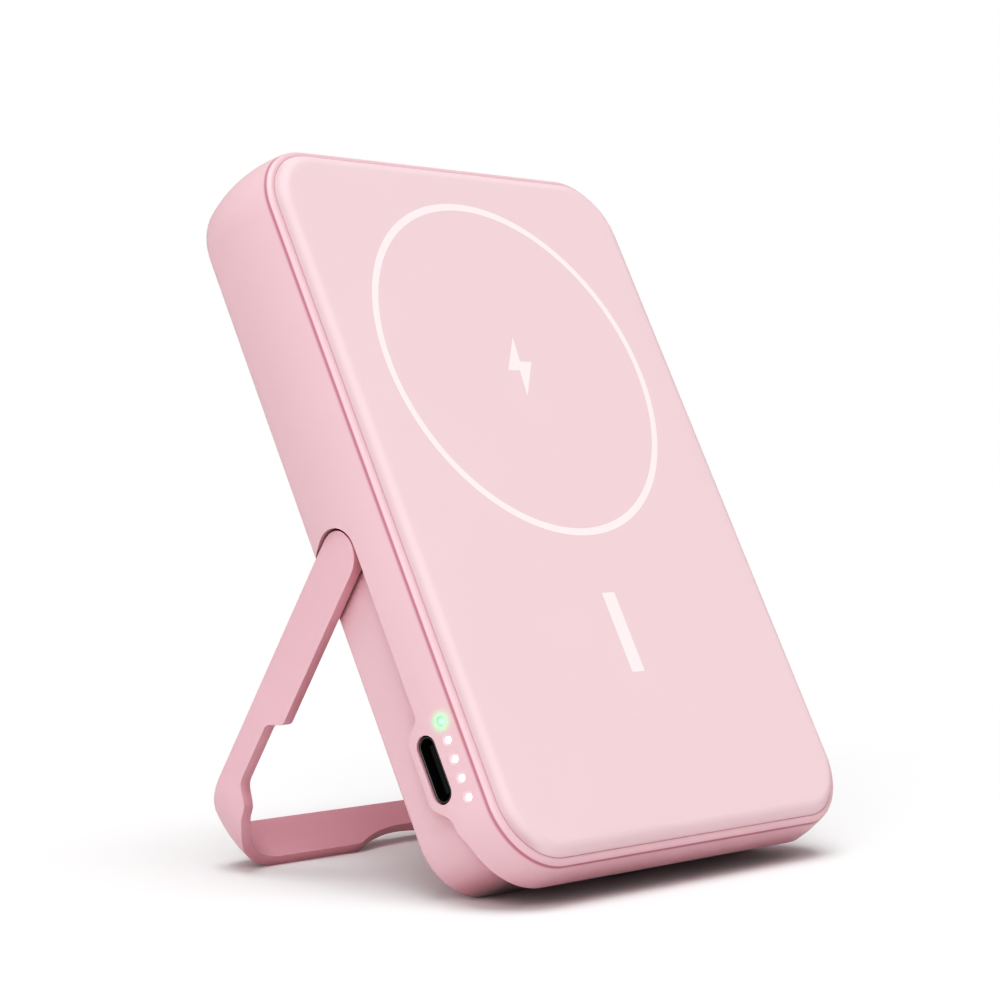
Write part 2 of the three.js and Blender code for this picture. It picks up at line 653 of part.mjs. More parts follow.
// Lowest height of a group's or a mesh's vertices once the body leans back by an angle.
function lowest(object, lean) {
  body.rotation.x = Math.PI / 2 - lean;
  powerBank.updateMatrixWorld(true);
  return new THREE.Box3().setFromObject(object, true).min.z;
}
const housingMesh = body.getObjectByName("rear_housing");
let upright = 10 * degrees;
let flat = 50 * degrees;
for (let i = 0; i < 40; i++) {
  const lean = (upright + flat) / 2;
  if (lowest(stand, lean) > lowest(housingMesh, lean)) upright = lean;
  else flat = lean;
}
body.rotation.x = Math.PI / 2 - (upright + flat) / 2;
powerBank.updateMatrixWorld(true);
const bounds = new THREE.Box3().setFromObject(body, true);
body.position.set(0, -(bounds.min.y + bounds.max.y) / 2, -bounds.min.z);

export default powerBank;
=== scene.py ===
import json
import math

import bpy
from mathutils import Matrix, Vector


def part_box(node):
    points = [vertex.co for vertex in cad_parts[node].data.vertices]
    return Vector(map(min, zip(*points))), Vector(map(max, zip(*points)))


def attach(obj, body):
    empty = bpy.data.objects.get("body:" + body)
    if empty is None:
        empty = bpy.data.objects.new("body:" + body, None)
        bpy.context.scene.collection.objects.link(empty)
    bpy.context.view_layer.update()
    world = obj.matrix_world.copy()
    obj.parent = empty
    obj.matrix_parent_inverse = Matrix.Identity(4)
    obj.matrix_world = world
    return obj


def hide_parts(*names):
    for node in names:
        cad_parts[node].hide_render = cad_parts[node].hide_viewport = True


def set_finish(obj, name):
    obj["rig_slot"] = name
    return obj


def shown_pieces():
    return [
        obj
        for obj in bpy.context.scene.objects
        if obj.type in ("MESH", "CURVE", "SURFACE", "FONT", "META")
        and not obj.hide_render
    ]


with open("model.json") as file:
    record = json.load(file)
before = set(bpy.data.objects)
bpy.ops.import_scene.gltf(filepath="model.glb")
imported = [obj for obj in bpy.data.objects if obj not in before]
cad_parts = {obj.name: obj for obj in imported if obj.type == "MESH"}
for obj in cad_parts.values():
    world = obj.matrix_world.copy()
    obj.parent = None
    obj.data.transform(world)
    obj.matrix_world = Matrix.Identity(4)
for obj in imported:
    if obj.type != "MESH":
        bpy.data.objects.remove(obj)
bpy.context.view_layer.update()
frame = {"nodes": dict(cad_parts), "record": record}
scene = bpy.context.scene
print("frame loaded")

# the body's own frame, read from the face pad: origin in the middle of the face, X across, Y up along it, Z out
padMesh = frame["nodes"]["face_pad"].data
faceNormal = max((f for f in padMesh.polygons if f.normal.y < 0), key=lambda f: f.area).normal.copy()
lean = math.atan2(faceNormal.z, -faceNormal.y)
upAlong = Vector((0, math.sin(lean), math.cos(lean)))
heights = [v.co.dot(upAlong) for v in padMesh.vertices]
faceCentre = upAlong * (max(heights) + min(heights)) / 2
faceCentre += faceNormal * max(v.co.dot(faceNormal) for v in padMesh.vertices)

# ---- camera ----
view = {"lens": 93.56, "offset": (-0.2701, -0.2376, 0.0039), "turn": (89.06, 0.10, -47.20)}

bpy.ops.object.camera_add(location=faceCentre + Vector(view["offset"]))
camera = bpy.context.object
camera.rotation_euler = [math.radians(a) for a in view["turn"]]
camera.data.lens = view["lens"]
camera.data.sensor_width = 36
camera.data.clip_start = 0.01
scene.camera = camera

# ---- working by hand, in millimetres in the body's frame ----


def pick(piece):
    bpy.ops.object.select_all(action="DESELECT")
    piece.select_set(True)
    bpy.context.view_layer.objects.active = piece


def openMesh(piece, mode="FACE"):
    pick(piece)
    bpy.ops.object.mode_set(mode="EDIT")
    bpy.ops.mesh.select_mode(type=mode)
    bpy.ops.mesh.select_all(action="SELECT")


def closeMesh():
    bpy.ops.object.mode_set(mode="OBJECT")


def named(name):
    piece = bpy.context.object
    piece.name = piece.data.name = name
    return piece


def chooseFaces(piece, rule):
    bpy.ops.object.mode_set(mode="OBJECT")
    for face in piece.data.polygons:
        face.select = rule(face)
    bpy.ops.object.mode_set(mode="EDIT")


def step(inward, push):
    bpy.ops.mesh.inset(thickness=inward, depth=push, use_even_offset=True)


# a face with round corners, ready to be stepped up or down
def roundPlate(name, halfWidth, halfHeight, radius, level, faceDown=False, segments=16):
    bpy.ops.object.select_all(action="DESELECT")
    bpy.ops.mesh.primitive_plane_add(size=2, location=(0, 0, 0))
    piece = named(name)
    openMesh(piece, "VERT")
    bpy.ops.transform.resize(value=(halfWidth, halfHeight, 1))
    bpy.ops.transform.translate(value=(0, 0, level))
    bpy.ops.mesh.bevel(offset=radius, offset_type="OFFSET", segments=segments, profile=0.5, affect="VERTICES")
    bpy.ops.mesh.select_mode(type="FACE")
    bpy.ops.mesh.select_all(action="SELECT")
    if faceDown:
        bpy.ops.mesh.flip_normals()
    return piece


# an outline drawn point by point, filled and pulled out into a solid
def drawn(name, points, push):
    bpy.ops.object.select_all(action="DESELECT")
    bpy.ops.mesh.primitive_plane_add(size=1, location=(0, 0, 0))
    piece = named(name)
    openMesh(piece, "VERT")
    bpy.ops.mesh.merge(type="CENTER")
    bpy.ops.mesh.select_all(action="SELECT")
    bpy.ops.transform.translate(value=points[0])
    for before, after in zip(points, points[1:]):
        way = Vector(after) - Vector(before)
        bpy.ops.mesh.extrude_region_move(TRANSFORM_OT_translate={"value": way})
    bpy.ops.mesh.select_all(action="SELECT")
    bpy.ops.mesh.edge_face_add()
    bpy.ops.mesh.select_mode(type="FACE")
    bpy.ops.mesh.select_all(action="SELECT")
    bpy.ops.mesh.extrude_region_move(TRANSFORM_OT_translate={"value": push})
    bpy.ops.mesh.select_all(action="SELECT")
    bpy.ops.mesh.normals_make_consistent(inside=False)
    closeMesh()
    return piece


def modify(piece, kind, **settings):
    pick(piece)
    bpy.ops.object.modifier_add(type=kind)
    modifier = piece.modifiers[-1]
    for key, value in settings.items():
        setattr(modifier, key, value)
    bpy.ops.object.modifier_apply(modifier=modifier.name)


def carve(piece, tool, operation="DIFFERENCE", keep=False):
    modify(piece, "BOOLEAN", object=tool, operation=operation, solver="EXACT")
    if not keep:
        bpy.data.objects.remove(tool)


def weld(piece, reach=0.002):
    openMesh(piece, "VERT")
    bpy.ops.mesh.remove_doubles(threshold=reach)
    bpy.ops.mesh.normals_make_consistent(inside=False)
    closeMesh()


def rodAcross(name, radius, start, end, y, z, vertices=48):
    bpy.ops.object.select_all(action="DESELECT")
    bpy.ops.mesh.primitive_cylinder_add(
        radius=radius, depth=end - start, vertices=vertices, location=((start + end) / 2, y, z),
        rotation=(0, math.pi / 2, 0))
    piece = named(name)
    bpy.ops.object.transform_apply()
    return piece


# a finished piece is set down in the row's frame, its place in its mesh
def settle(piece, body, slot, nodes, turn=None, smooth=30):
    metres = Matrix.Diagonal((0.001, 0.001, 0.001, 1))
    place = Matrix.Translation(faceCentre) @ Matrix.Rotation(math.pi / 2 - lean, 4, "X") @ metres
    pick(piece)
    piece.matrix_world = place if turn is None else place @ turn
    bpy.ops.object.transform_apply()
    bpy.ops.object.shade_smooth_by_angle(angle=math.radians(smooth))
    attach(piece, body)
    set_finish(piece, slot)
    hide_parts(*nodes)
    print("made", piece.name)
    return piece


def ramp(t):
    t = min(max(t, 0), 1)
    return t * t * t * (t * (6 * t - 15) + 10)


# ---- the body's outer form ----
form = {
    "halfWidth": 35.65, "halfHeight": 52.55, "corner": 9.5, "depth": 16.9, "swell": 1.0, "swellLevel": -8.75,
    "swellReach": 6.77, "rimTop": -1.18, "rimRound": 0.8, "backRound": 2.0}


def swell(z):
    return form["swell"] * (1 - ((z - form["swellLevel"]) / form["swellReach"]) ** 2)


def swellSteps(start, end, count):
    levels = [start + (end - start) * i / count for i in range(count + 1)]
    return [(swell(a) - swell(b), abs(b - a)) for a, b in zip(levels, levels[1:])]


def roundSteps(radius, startAngle, count):
    angles = [startAngle + (90 - startAngle) * i / count for i in range(count + 1)]
    turns = [math.radians(a) for a in angles]
    return [
        (radius * (math.cos(a) - math.cos(b)), radius * (math.sin(b) - math.sin(a)))
        for a, b in zip(turns, turns[1:])]


# the back's rounded edge, with the swell still running through it
def filletSteps(start, count):
    radius, points = form["backRound"], []
    for i in range(count + 1):
        turn = math.pi / 2 * i / count
        z = start - radius * math.sin(turn)
        points.append((swell(z) - radius * (1 - math.cos(turn)), z))
    return [(a[0] - b[0], a[1] - b[1]) for a, b in zip(points, points[1:])]


def midPlate(name, faceDown):
    f = form
    return roundPlate(
        name, f["halfWidth"] + f["swell"], f["halfHeight"] + f["swell"], f["corner"] + f["swell"],
        f["swellLevel"], faceDown)


# ---- the folding stand's outline, shared by the stand and its recess ----
hinge = {"y": -4.5, "z": -11.3, "halfArm": 3.6, "open": 60}
fold = {
    "crossFront": -7.0, "rear": -14.9, "stepY": -45.5, "notch": -10.45, "notchLow": -41.8, "notchHigh": -29.9,
    "lowRound": 2.1, "highRound": 1.6, "gap": 0.3}


def frontLine(y, gap, notched):
    arm = hinge["z"] + hinge["halfArm"]
    z = fold["crossFront"] + (arm - fold["crossFront"]) * ramp((y - fold["stepY"] + 2) / 4)
    if notched:
        low, high = fold["notchLow"] + gap, fold["notchHigh"] - gap
        lowHalf, highHalf = fold["lowRound"], fold["highRound"]
        share = ramp((y - low + lowHalf) / (2 * lowHalf)) * (1 - ramp((y - high + highHalf) / (2 * highHalf)))
        z += (fold["notch"] - z) * share
    return z + gap


def spaced(start, end, size):
    count = max(1, math.ceil(abs(end - start) / size - 1e-6))
    return [start + (end - start) * i / count for i in range(count)]


# ---- rear housing ----
shell = {
    "lip": 0.17, "ledge": -3.23, "ledgeWidth": 1.1, "shoulder": -6.1, "shoulderWidth": 1.2, "floor": -15.4,
    "coreInset": (1.4, 1.55), "coreRound": 0.8, "socketY": -36, "socketZ": -7.45, "slot": (9.2, 3.2),
    "lightZ": -3.95, "lightPitch": 2.57, "lightHole": 0.62, "buttonZ": -4.85, "button": (9.4, 2.2),
    "boss": (28.6, 45.5, 2.5, 1.1), "nub": (3.4, 0.65)}


def racetrack(length, width, x, y, z, count=16):
    points = []
    for end in (1, -1):
        for i in range(count + 1):
            angle = math.pi * (i / count - 0.5) + (0 if end > 0 else math.pi)
            along = end * (length - width) / 2 + math.cos(angle) * width / 2
            points.append((x, y + along, z + math.sin(angle) * width / 2))
    return points


def recessTool(side):
    notched = side < 0
    x = -45 if notched else -0.01
    outline = [(x, -60, -18.5)]
    for y in spaced(-60, -48, 6) + spaced(-48, -27, 0.5 if notched else 1) + spaced(-27, hinge["y"], 8):
        outline.append((x, y, frontLine(y, fold["gap"], notched)))
    radius = hinge["halfArm"] + fold["gap"]
    for i in range(25):
        angle = math.radians(90 - 5 * i)
        outline.append((x, hinge["y"] + radius * math.cos(angle), hinge["z"] + radius * math.sin(angle)))
    last = outline[-1]
    outline.append((x, last[1] - (last[2] + 18.5) * math.tan(math.radians(30)), -18.5))
    tool = drawn("recessTool", outline, (45.01, 0, 0))
    inX, inY = shell["coreInset"]
    core = roundPlate(
        "core", form["halfWidth"] - inX, form["halfHeight"] - inY, form["corner"] - 1.4, 1, faceDown=True)
    step(0, 1 + form["depth"] - shell["coreRound"])
    for inward, push in roundSteps(shell["coreRound"], 0, 6):
        step(inward, push)
    step(0, 3)
    core.data.update()
    bpy.ops.mesh.select_all(action="SELECT")
    bpy.ops.mesh.select_mode(type="EDGE")
    bpy.ops.mesh.select_all(action="DESELECT")
    bpy.ops.mesh.select_non_manifold()
    bpy.ops.mesh.edge_face_add()
    bpy.ops.mesh.select_all(action="SELECT")
    bpy.ops.mesh.normals_make_consistent(inside=False)
    closeMesh()
    carve(tool, core)
    return tool


def makeHousing():
    f, s = form, shell
    upper = midPlate("rearHousing", False)
    rimLean = 16.4
    rimStart = f["rimTop"] - f["rimRound"] * (1 - math.sin(math.radians(rimLean)))
    chain = swellSteps(f["swellLevel"], rimStart, 9) + roundSteps(f["rimRound"], rimLean, 7)
    chain += [(s["lip"], 0), (0, s["ledge"] - f["rimTop"]), (s["ledgeWidth"], 0)]
    chain += [(0, s["shoulder"] - s["ledge"]), (s["shoulderWidth"], 0), (0, s["floor"] - s["shoulder"])]
    for inward, push in chain:
        step(inward, push)
    closeMesh()
    lower = midPlate("backHalf", True)
    backStart = -f["depth"] + f["backRound"]
    for inward, push in swellSteps(f["swellLevel"], backStart, 9) + filletSteps(backStart, 10):
        step(inward, push)
    closeMesh()
    bpy.ops.object.select_all(action="DESELECT")
    lower.select_set(True)
    upper.select_set(True)
    bpy.context.view_layer.objects.active = upper
    bpy.ops.object.join()
    weld(upper)
    for side in (-1, 1):
        carve(upper, recessTool(side))
    bossX, bossY, bossRadius, boreRadius = s["boss"]
    for sx, sy in ((1, 1), (-1, 1), (-1, -1), (1, -1)):
        for radius, low, high, operation in (
                (bossRadius, s["floor"] - 0.5, -3.38, "UNION"), (boreRadius, -9.4, -3, "DIFFERENCE")):
            bpy.ops.object.select_all(action="DESELECT")
            bpy.ops.mesh.primitive_cylinder_add(
                radius=radius, depth=high - low, vertices=32, location=(sx * bossX, sy * bossY, (low + high) / 2))
            carve(upper, bpy.context.object, operation)
    nubHalf, nubHigh = s["nub"]
    recessY = form["halfHeight"] - s["coreInset"][1]
    nub = [(nubHalf, -14.6), (nubHalf, -12.6), (-nubHalf, -12.6), (-nubHalf, -14.6)]
    carve(upper, drawn("nub", [(x, -recessY - nubHigh, z) for x, z in nub], (0, nubHigh + 0.6, 0)), "UNION")
    carve(upper, drawn("slot", racetrack(*s["slot"], -42, s["socketY"], s["socketZ"]), (11, 0, 0)))
    carve(upper, drawn("slit", racetrack(*s["button"], 31, s["socketY"], s["buttonZ"]), (11, 0, 0)))
    for i in range(5):
        y = s["socketY"] + (2 - i) * s["lightPitch"]
        carve(upper, rodAcross("lightHole", s["lightHole"], -42, -31, y, s["lightZ"], 32))
    carve(upper, rodAcross("pinHole", 1.58, -60, 60, hinge["y"], hinge["z"]))
    weld(upper, 0.004)
    return settle(upper, "power_bank", "shell", ["rear_housing"])


makeHousing()

# ---- face pad with its pale marks ----
pad = {
    "half": (34.62, 51.52), "corner": 8.47, "under": -1.78, "edge": 2.3, "ring": (0, 18.8, 26.5, 1.1),
    "bar": (2.6, 11.8, -22.3), "bolt": 0.95, "markDepth": 0.35, "above": 0.2}
boltOutline = [(0.9, 5), (-2.9, -0.7), (-0.4, -0.7), (-0.9, -5), (2.9, 0.8), (0.4, 0.8)]


def makeMarks():
    high = pad["markDepth"] + pad["above"]
    x, y, radius, width = pad["ring"]
    bpy.ops.object.select_all(action="DESELECT")
    bpy.ops.mesh.primitive_circle_add(vertices=192, radius=radius, fill_type="NGON", location=(0, 0, 0))
    ring = named("ringInlay")
    openMesh(ring)
    bpy.ops.transform.translate(value=(x, y, -pad["markDepth"]))
    step(width, 0)
    bpy.ops.mesh.delete(type="FACE")
    bpy.ops.mesh.select_all(action="SELECT")
    bpy.ops.mesh.extrude_region_move(TRANSFORM_OT_translate={"value": (0, 0, high)})
    bpy.ops.mesh.select_all(action="SELECT")
    bpy.ops.mesh.normals_make_consistent(inside=False)
    closeMesh()
    barWide, barLong, barY = pad["bar"]
    bar = roundPlate("barInlay", barWide / 2, barLong / 2, 0.15, 0, segments=4)
    bpy.ops.transform.translate(value=(0, barY, -pad["markDepth"]))
    bpy.ops.mesh.extrude_region_move(TRANSFORM_OT_translate={"value": (0, 0, high)})
    bpy.ops.mesh.select_all(action="SELECT")
    bpy.ops.mesh.normals_make_consistent(inside=False)
    closeMesh()
    k = pad["bolt"]
    bolt = drawn("boltInlay", [(x + a * k, y + b * k, -pad["markDepth"]) for a, b in boltOutline], (0, 0, high))
    return [ring, bar, bolt]


def makePad(marks):
    edge, rise = pad["edge"], -form["rimTop"]
    endAngle = math.degrees(math.acos(1 - rise / edge))
    piece = roundPlate("facePad", *pad["half"], pad["corner"], pad["under"], segments=20)
    bpy.ops.mesh.extrude_region_move(TRANSFORM_OT_translate={"value": (0, 0, form["rimTop"] - pad["under"])})
    for inward, push in roundSteps(edge, 90 - endAngle, 12):
        step(inward, push)
    bpy.ops.mesh.select_all(action="SELECT")
    bpy.ops.mesh.normals_make_consistent(inside=False)
    closeMesh()
    for mark in marks:
        carve(piece, mark, keep=True)
    bossX, bossY = shell["boss"][:2]
    for sx, sy in ((1, 1), (-1, 1), (-1, -1), (1, -1)):
        bpy.ops.object.select_all(action="DESELECT")
        bpy.ops.mesh.primitive_cylinder_add(
            radius=2.3, depth=1.75, vertices=32, location=(sx * bossX, sy * bossY, pad["under"] - 0.125))
        carve(piece, bpy.context.object)
    return settle(piece, "power_bank", "pad", ["face_pad"], smooth=25)


marks = makeMarks()
makePad(marks)
for mark, node in zip(marks, ("ring_inlay", "bar_inlay", "bolt_inlay")):
    openMesh(mark)
    chooseFaces(mark, lambda face: face.normal.z > 0.9)
    bpy.ops.transform.translate(value=(0, 0, -pad["above"]))
    closeMesh()
    settle(mark, "power_bank", "print", [node])

# ---- folding stand: a strip laid round the body, given its thickness and soft edges ----
ribbon = {"arm": 1.7, "cross": 1.5, "innerSwell": 0.3, "edge": 0.28, "across": 12, "archHalf": 10.2, "archRise": 2.9}


def archLine(x):
    half, rise = ribbon["archHalf"], ribbon["archRise"]
    radius = (half * half + rise * rise) / (2 * rise)
    front = fold["crossFront"]
    if abs(x) > radius - 1:
        return front
    curve = front - rise + radius - math.sqrt(radius * radius - x * x)
    return (front + curve - math.hypot(front - curve, 0.35)) / 2 + 0.01


# each station: a point on the body's outline, the way out, and the strip's two edges there
def ribbonStations():
    f, stations = form, []
    halfArm, mid, rear = hinge["halfArm"], hinge["z"], fold["rear"]
    cornerX, cornerY = f["halfWidth"] - f["corner"], f["halfHeight"] - f["corner"]
    for side in (-1, 1):
        line = []
        for i in range(12):
            angle = math.radians(82 - 82 * i / 12)
            wide = halfArm * math.cos(angle)
            y = hinge["y"] + halfArm * math.sin(angle)
            line.append((side * f["halfWidth"], y, side, 0, mid - wide, mid + wide))
        for y in spaced(hinge["y"], -27, 3) + spaced(-27, -cornerY, 0.4):
            line.append((side * f["halfWidth"], y, side, 0, rear, frontLine(y, 0, side < 0)))
        for i in range(24):
            angle = math.radians(90 * i / 24)
            outX, outY = side * math.cos(angle), -math.sin(angle)
            y = -cornerY + f["corner"] * outY
            front = frontLine(y, 0, side < 0)
            line.append((side * cornerX + f["corner"] * outX, y, outX, outY, rear, front))
        for x in spaced(cornerX, 0, 0.55):
            line.append((side * x, -f["halfHeight"], 0, -1, rear, archLine(x)))
        if side < 0:
            line.append((0, -f["halfHeight"], 0, -1, rear, archLine(0)))
        stations += line if side < 0 else line[::-1]
    return stations


def makeStand():
    stations = ribbonStations()
    count, across = len(stations) - 1, ribbon["across"]
    bpy.ops.object.select_all(action="DESELECT")
    bpy.ops.mesh.primitive_grid_add(x_subdivisions=count, y_subdivisions=across, size=2, location=(0, 0, 0))
    piece = named("standFrame")
    thick = piece.vertex_groups.new(name="thickness")
    for vertex in piece.data.vertices:
        i = round((vertex.co.x + 1) / 2 * count)
        share = (vertex.co.y + 1) / 2
        x, y, outX, outY, rear, front = stations[i]
        z = rear + (front - rear) * share
        vertex.co = (x + outX * swell(z), y + outY * swell(z), z)
        thickness = ribbon["arm"] + (ribbon["cross"] - ribbon["arm"]) * ramp(-outY)
        thickness -= (1 - ribbon["innerSwell"]) * (form["swell"] - swell(z))  # the inner face swells less
        thick.add([vertex.index], thickness / ribbon["arm"], "REPLACE")
    modify(piece, "SOLIDIFY", thickness=ribbon["arm"], offset=-1, vertex_group="thickness", use_even_offset=True)
    modify(piece, "BEVEL", width=ribbon["edge"], segments=4, limit_method="ANGLE", angle_limit=math.radians(50))
    for side in (-1, 1):
        head = form["halfWidth"] + swell(hinge["z"]) - 0.75
        inner, outer = sorted((side * (form["halfWidth"] - 4), side * head))
        carve(piece, rodAcross("pinPocket", 2.4, inner, outer, hinge["y"], hinge["z"]))
    centre = Vector((0, hinge["y"], hinge["z"]))
    swing = Matrix.Translation(centre) @ Matrix.Rotation(math.radians(hinge["open"]), 4, "X")
    return settle(piece, "stand", "stand", ["stand_frame"], swing @ Matrix.Translation(-centre), smooth=40)


makeStand()

# ---- socket, lights and button ----
socket = {"shell": (8.9, 2.9), "wall": 0.25, "front": -36.31, "back": -29.31, "tongue": (6.7, 0.7), "lip": 0.06}
lens = {"radius": 0.46, "inner": -32.85, "dome": 0.12}
button = {"cap": (9, 1.8), "flange": (12, 1.8), "flangeX": (32.65, 33.25), "proud": 0.3, "edge": 0.25}


def makeSocket():
    y, z = shell["socketY"], shell["socketZ"]
    reach = socket["front"] - socket["back"]
    tube = drawn("socketShell", racetrack(*socket["shell"], socket["back"], y, z), (reach, 0, 0))
    openMesh(tube)
    chooseFaces(tube, lambda face: face.normal.x < -0.9)
    lip = socket["lip"]
    step(lip, 0)
    bpy.ops.transform.translate(value=(-lip, 0, 0))
    step(socket["wall"] - 2 * lip, 0)
    step(lip, -lip)
    step(0, -5.9)
    closeMesh()
    settle(tube, "power_bank", "socket_metal", ["socket_shell"])
    wide, thin = socket["tongue"]
    bpy.ops.object.select_all(action="DESELECT")
    bpy.ops.mesh.primitive_cube_add(size=1, location=(0, 0, 0))
    tongue = named("socketTongue")
    start, end = socket["front"] + 0.7, socket["back"] - 1.1
    openMesh(tongue)
    bpy.ops.transform.resize(value=(end - start, wide, thin))
    bpy.ops.transform.translate(value=((start + end) / 2, y, z))
    bpy.ops.mesh.bevel(offset=0.12, segments=3, affect="EDGES")
    closeMesh()
    for side in (-1, 1):
        for i in range(12):
            place = (start + 1.6, y + (i - 5.5) * 0.5, z + side * thin / 2)
            bpy.ops.object.select_all(action="DESELECT")
            bpy.ops.mesh.primitive_cube_add(size=1, location=place, scale=(2.4, 0.24, 0.08))
            carve(tongue, bpy.context.object)
    settle(tongue, "power_bank", "chip", ["socket_tongue"])


def makeLens(name, node, y):
    outer = -(form["halfWidth"] + swell(shell["lightZ"]))
    piece = rodAcross(name, lens["radius"], outer + lens["dome"], lens["inner"], y, shell["lightZ"], 32)
    openMesh(piece)
    chooseFaces(piece, lambda face: face.normal.x < -0.9)
    for inward, push in ((0.03, 0.05), (0.09, 0.04), (0.14, 0.03)):
        step(inward, push)
    closeMesh()
    return settle(piece, "power_bank", "lens_green" if node == "status_lens" else "lens_white", [node], smooth=50)


def makeButton():
    y, z = shell["socketY"], shell["buttonZ"]
    low, high = button["flangeX"]
    piece = drawn("checkButton", racetrack(*button["flange"], low, y, z), (high - low, 0, 0))
    outer = form["halfWidth"] + swell(z) + button["proud"]
    cap = drawn("cap", racetrack(*button["cap"], low + 0.3, y, z), (outer - low - 0.3 - button["edge"], 0, 0))
    openMesh(cap)
    chooseFaces(cap, lambda face: face.normal.x > 0.9)
    for inward, push in roundSteps(button["edge"], 0, 6):
        step(inward, push)
    closeMesh()
    carve(piece, cap, "UNION")
    return settle(piece, "button", "shell", ["check_button"])


makeSocket()
lensNames = ["status_lens", "level_lens_1", "level_lens_2", "level_lens_3", "level_lens_4"]
for i, node in enumerate(lensNames):
    lensY = shell["socketY"] + (2 - i) * shell["lightPitch"]
    makeLens(node.replace("_lens", "Lens").replace("_", ""), node, lensY)
makeButton()

# ---- finishes ----


class Wire:
    def __init__(self, recipe, socket):
        self.recipe, self.socket = recipe, socket

    def maths(self, operation, first, second=0.0):
        return self.recipe.node("ShaderNodeMath", {"operation": operation}, {0: first, 1: second})

    def __add__(self, other):
        return self.maths("ADD", self, other)

    def __sub__(self, other):
        return self.maths("SUBTRACT", self, other)

    def __mul__(self, other):
        return self.maths("MULTIPLY", self, other)

    def __rsub__(self, other):
        return self.maths("SUBTRACT", other, self)

    __radd__, __rmul__ = __add__, __mul__


class Recipe:
    def __init__(self, name, **constants):
        self.material = bpy.data.materials.new(name)
        self.material.use_nodes = True
        self.tree = self.material.node_tree
        self.shader = self.tree.nodes["Principled BSDF"]
        self.place = self.node("ShaderNodeTexCoord", {}, {}, "Object")
        for key, value in constants.items():
            self.set(key.replace("_", " "), value)

    def feed(self, socket, value):
        if isinstance(value, Wire):
            self.tree.links.new(value.socket, socket)
        else:
            socket.default_value = value

    def set(self, name, value):
        self.feed(self.shader.inputs[name], value)

    def held(self, name):
        return Wire(self, self.shader.inputs[name].links[0].from_socket)

    def node(self, kind, settings, inputs, output=0):
        node = self.tree.nodes.new(kind)
        for key, value in settings.items():
            setattr(node, key, value)
        for key, value in inputs.items():
            self.feed(node.inputs[key], value)
        return Wire(self, node.outputs[output])

    def noise(self, size, detail=2.0, rough=0.5, stretch=None):
        place = self.place
        if stretch:
            place = self.node("ShaderNodeMapping", {}, {"Vector": place, "Scale": stretch})
        return self.node("ShaderNodeTexNoise", {}, {
            "Vector": place, "Scale": 1 / size, "Detail": detail, "Roughness": rough}, "Fac")

    def blend(self, factor, first, second):
        first, second = [(*c, 1) if isinstance(c, tuple) and len(c) == 3 else c for c in (first, second)]
        return self.node("ShaderNodeMix", {"data_type": "RGBA"}, {0: factor, 6: first, 7: second}, 2)

    def bump(self, height, depth, strength=1.0):
        self.set("Normal", self.node("ShaderNodeBump", {}, {
            "Height": height, "Distance": depth, "Strength": strength}))


def shaded(colour, share):
    return tuple(c * share for c in colour)


def moulded(name, colour, rough, grain=0.00016, depth=0.000012, tint=0.03, **constants):
    recipe = Recipe(name, **constants)
    cloud = recipe.noise(0.018, 3)
    fine = recipe.noise(grain, 2, 0.6)
    recipe.set("Base Color", recipe.blend(cloud * 0.7 + fine * 0.3, shaded(colour, 1 - tint), shaded(colour, 1 + tint)))
    recipe.set("Roughness", recipe.noise(0.0011, 3) * 0.10 + fine * 0.08 + (rough - 0.09))
    recipe.bump(fine, depth)
    return recipe


def metal(name, colour, rough, stretch=(1, 1, 1), depth=0.000004, **constants):
    recipe = Recipe(name, Metallic=1.0, **constants)
    streak = recipe.noise(0.0003, 3, 0.6, stretch)
    recipe.set("Base Color", recipe.blend(recipe.noise(0.006), shaded(colour, 0.88), colour))
    recipe.set("Roughness", streak * 0.18 + (rough - 0.09))
    recipe.bump(streak, depth)
    return recipe


colours = {
    "shell": (0.67, 0.46, 0.49), "pad": (0.70, 0.53, 0.555), "print": (0.80, 0.70, 0.71), "stand": (0.67, 0.44, 0.475),
    # painted shade colours: a dark band at the rim's round and in the crease where pad meets rim, and a darker tone for
    # the pad's rounded sides
    "line": (0.42, 0.20, 0.235), "slopeShade": (0.54, 0.39, 0.41),
    # painted light: green cast into the shell's colour near the status lamp
    "paintedGreenLight": (0.3, 0.6, 0.36),
    "glowWhite": (1.0, 0.93, 0.93), "glowGreen": (0.38, 0.95, 0.48)}


# how far a spot lies below the charging face, in millimetres
def below(recipe):
    out = tuple(-1000 * c for c in faceNormal)
    depth = recipe.node("ShaderNodeVectorMath", {"operation": "DOT_PRODUCT"}, {0: recipe.place, 1: out}, "Value")
    return depth + 1000 * faceCentre.dot(faceNormal)


def between(recipe, value, start, end):
    return recipe.node("ShaderNodeMapRange", {"interpolation_type": "SMOOTHSTEP"}, {
        "Value": value, "From Min": start, "From Max": end}, "Result")


# painted glow: soft light painted into the moulding round each small lamp, strongest next to it
def paintedGlow(recipe, node, reach):
    low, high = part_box(node)
    spot = Vector((low.x, (low.y + high.y) / 2, (low.z + high.z) / 2))
    away = recipe.node("ShaderNodeVectorMath", {"operation": "DISTANCE"}, {0: recipe.place, 1: tuple(spot)}, "Value")
    near = 1 - between(recipe, away, 0.0002, reach)
    return near * near


# painted shade and painted glow in the finish: depths below the face in millimetres, glow reaches in metres
paintedLight = {
    "line": (1.55, 1.75, 1.85, 2.3), "rimShadeShare": 0.85, "whiteReach": 0.00105, "greenReach": 0.0024,
    "slopeShade": (0.08, 0.9), "slopeShadeShare": 0.8, "creaseShade": (1.02, 1.17), "creaseShadeShare": 0.45, "sides": (0.0295, 0.0325)}


